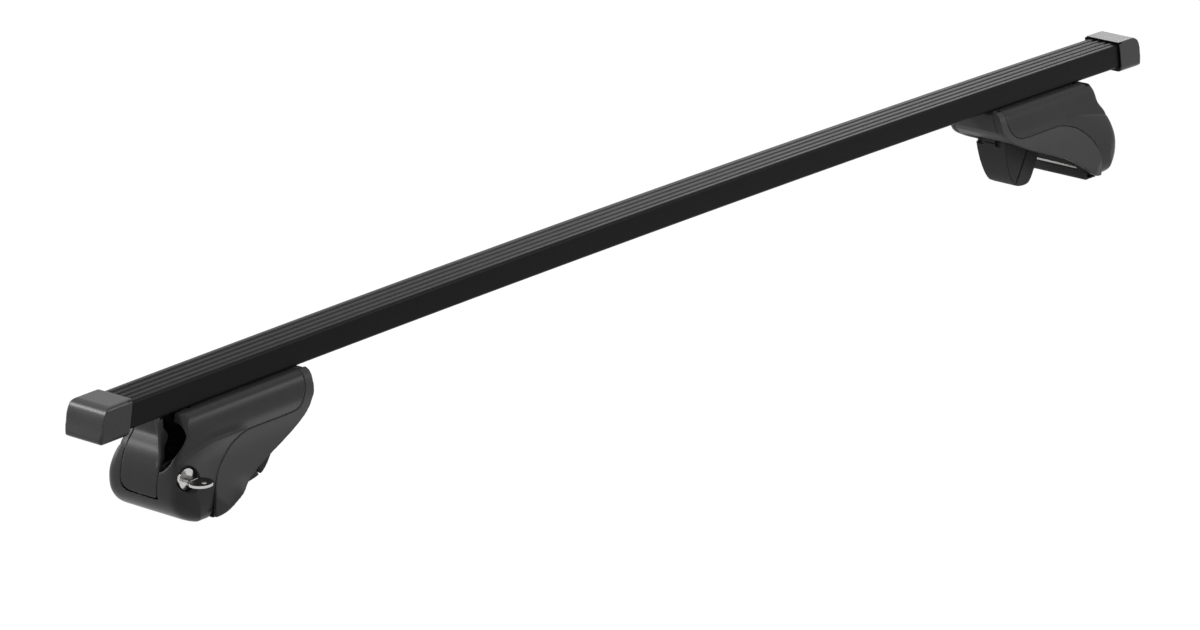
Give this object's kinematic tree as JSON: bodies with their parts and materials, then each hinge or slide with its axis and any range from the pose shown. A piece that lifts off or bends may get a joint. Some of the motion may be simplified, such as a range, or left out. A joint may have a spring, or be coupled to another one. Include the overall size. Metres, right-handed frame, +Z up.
{
  "type": "roof rack",
  "caption": "Slim black roof crossbar on a pair of lockable clamp feet for raised roof rails, with ribbed top, end caps and a key in the near lock.",
  "frame": {"origin": "the ground level under the middle of the bar: Z=0 is the lowest point of the feet, and X=Y=0 is the middle of the bar in plan", "axes": "+X along the bar, across the car; +Y along the car; +Z up. The left foot, with the key, is at -X and its lock faces -Y"},
  "size_m": [1.1644, 0.0934, 0.0974],
  "materials": {
    "bar": "black powder coat",
    "body_satin": "satin grey-black",
    "cover": "fine matt black",
    "jaw_grey": "dark cast",
    "rubber": "matt",
    "black_steel": "black oxide",
    "zinc": "zinc plated",
    "lock_metal": "nickel plated"
  },
  "bodies": {
    "bar": {"crossbar": "bar", "end_cap_left": "body_satin", "end_cap_right": "body_satin"},
    "left_foot": {"housing_left": "body_satin", "side_panel_lock_left": "body_satin", "side_panel_plain_left": "body_satin", "outer_cover_left": "cover", "door_hinge_pin_left": "black_steel", "lock_sleeve_left": "lock_metal", "bolt_washer_left": "black_steel", "fixed_pad_left": "rubber", "cross_rod_left": "zinc", "slot_plate_left": "zinc", "slot_screws_left": "zinc", "cover_screws_left": "zinc"},
    "left_door": {"door_left": "cover"},
    "left_lock": {"lock_barrel_left": "lock_metal", "lock_cam_left": "zinc"},
    "left_bolt": {"clamp_bolt_left": "black_steel"},
    "left_jaw": {"jaw_left": "jaw_grey", "jaw_nut_left": "zinc", "jaw_pad_left": "rubber", "jaw_plate_left": "jaw_grey"},
    "left_key": {"key": "lock_metal"},
    "right_foot": {"housing_right": "body_satin", "side_panel_lock_right": "body_satin", "side_panel_plain_right": "body_satin", "outer_cover_right": "cover", "door_hinge_pin_right": "black_steel", "lock_sleeve_right": "lock_metal", "bolt_washer_right": "black_steel", "fixed_pad_right": "rubber", "cross_rod_right": "zinc", "slot_plate_right": "zinc", "slot_screws_right": "zinc", "cover_screws_right": "zinc"},
    "right_door": {"door_right": "cover"},
    "right_lock": {"lock_barrel_right": "lock_metal", "lock_cam_right": "zinc"},
    "right_bolt": {"clamp_bolt_right": "black_steel"},
    "right_jaw": {"jaw_right": "jaw_grey", "jaw_nut_right": "zinc", "jaw_pad_right": "rubber", "jaw_plate_right": "jaw_grey"}
  },
  "joints": [
    {"name": "left_foot_slide", "type": "slide", "parent": "bar", "child": "left_foot", "axis": [-0.9999, 0, -0.0126], "range_m": [-0.1, 0.008]},
    {"name": "left_door_hinge", "type": "hinge", "parent": "left_foot", "child": "left_door", "pos_m": [-0.52154, 0, 0.02306], "axis": [0, -1, 0], "range_deg": [0, 90]},
    {"name": "left_lock_turn", "type": "hinge", "parent": "left_foot", "child": "left_lock", "pos_m": [-0.51777, -0.025, 0.03331], "axis": [0, -1, 0], "range_deg": [0, 90]},
    {"name": "left_key_pull", "type": "slide", "parent": "left_lock", "child": "left_key", "axis": [0, -1, 0], "range_m": [0, 0.025]},
    {"name": "left_bolt_turn", "type": "hinge", "parent": "left_foot", "child": "left_bolt", "pos_m": [-0.47145, 0, 0.03989], "axis": [0.9999, 0, 0.0126], "range_deg": [-2448, 2160]},
    {"name": "left_jaw_slide", "type": "slide", "parent": "left_foot", "child": "left_jaw", "axis": [-0.9999, 0, -0.0126], "range_m": [-0.0086, 0.0076]},
    {"name": "right_foot_slide", "type": "slide", "parent": "bar", "child": "right_foot", "axis": [0.9999, 0, -0.0126], "range_m": [-0.1, 0.008]},
    {"name": "right_door_hinge", "type": "hinge", "parent": "right_foot", "child": "right_door", "pos_m": [0.52154, 0, 0.02306], "axis": [0, 1, 0], "range_deg": [0, 90]},
    {"name": "right_lock_turn", "type": "hinge", "parent": "right_foot", "child": "right_lock", "pos_m": [0.51777, 0.025, 0.03331], "axis": [0, 1, 0], "range_deg": [0, 90]},
    {"name": "right_bolt_turn", "type": "hinge", "parent": "right_foot", "child": "right_bolt", "pos_m": [0.47145, 0, 0.03989], "axis": [-0.9999, 0, 0.0126], "range_deg": [-1152, 3456]},
    {"name": "right_jaw_slide", "type": "slide", "parent": "right_foot", "child": "right_jaw", "axis": [0.9999, 0, -0.0126], "range_m": [-0.0041, 0.0121]}
  ],
  "couplings": [
    {"joint": "left_jaw_slide", "follows": "left_bolt_turn", "m_per_rad": 0.00019894},
    {"joint": "right_jaw_slide", "follows": "right_bolt_turn", "m_per_rad": 0.00019894}
  ]
}
